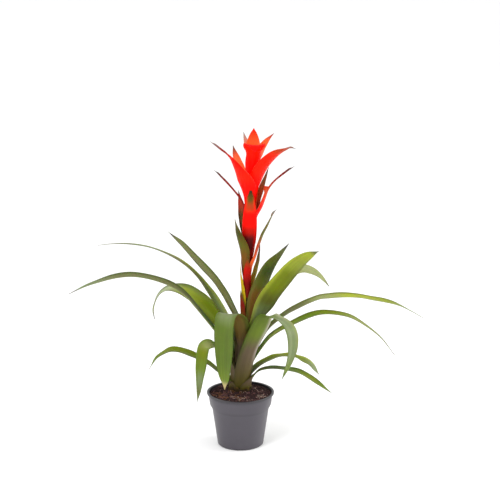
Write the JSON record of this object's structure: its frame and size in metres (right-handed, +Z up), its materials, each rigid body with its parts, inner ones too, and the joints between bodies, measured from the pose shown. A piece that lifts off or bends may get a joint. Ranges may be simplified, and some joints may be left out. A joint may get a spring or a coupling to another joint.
{
  "type": "potted guzmania",
  "caption": "Bromeliad in flower with arching strap leaves round a tall red spike of bracts, standing in a tapered plastic nursery pot filled with soil.",
  "frame": {"origin": "middle of the flat underside of the pot, on the surface that it stands on", "axes": "+Z up, +X to the right of the side seen in the picture, along the widest spread of the leaves, and -Y towards the viewer"},
  "size_m": [0.6272, 0.2813, 0.5705],
  "materials": {
    "pot_plastic": "satin moulded",
    "potting_soil": "crumbly, matte",
    "stem": "fibrous",
    "leaf": "waxy satin",
    "stalk_bract": "waxy satin",
    "red_bract": "waxy satin"
  },
  "bodies": {
    "root": {"pot": "pot_plastic", "soil": "potting_soil", "stem": "stem", "leaf_left_low": "leaf", "leaf_right_low": "leaf", "leaf_right_twisted": "leaf", "leaf_left_hanging": "leaf", "leaf_right_drooping": "leaf", "leaf_back_low": "leaf", "leaf_right_long": "leaf", "leaf_left_long": "leaf", "leaf_front_right": "leaf", "leaf_back_right": "leaf", "leaf_left_broad": "leaf", "leaf_right_behind": "leaf", "leaf_left_upper": "leaf", "leaf_front_broad": "leaf", "leaf_back_upper": "leaf", "leaf_right_broad": "leaf", "leaf_left_top": "leaf", "leaf_right_top": "leaf", "bract_01": "stalk_bract", "bract_02": "stalk_bract", "bract_03": "stalk_bract", "bract_04": "stalk_bract", "bract_05": "stalk_bract", "bract_06": "stalk_bract", "bract_07": "stalk_bract", "bract_08": "red_bract", "bract_09": "red_bract", "bract_10": "red_bract", "bract_11": "red_bract", "bract_12": "red_bract", "bract_13": "red_bract", "bract_14": "red_bract", "bract_15": "red_bract", "bract_16": "red_bract", "bract_17": "red_bract", "bract_18": "red_bract", "bract_19": "red_bract", "bract_20": "red_bract", "bract_21": "red_bract", "bract_22": "red_bract", "bract_23": "red_bract"}
  },
  "joints": []
}
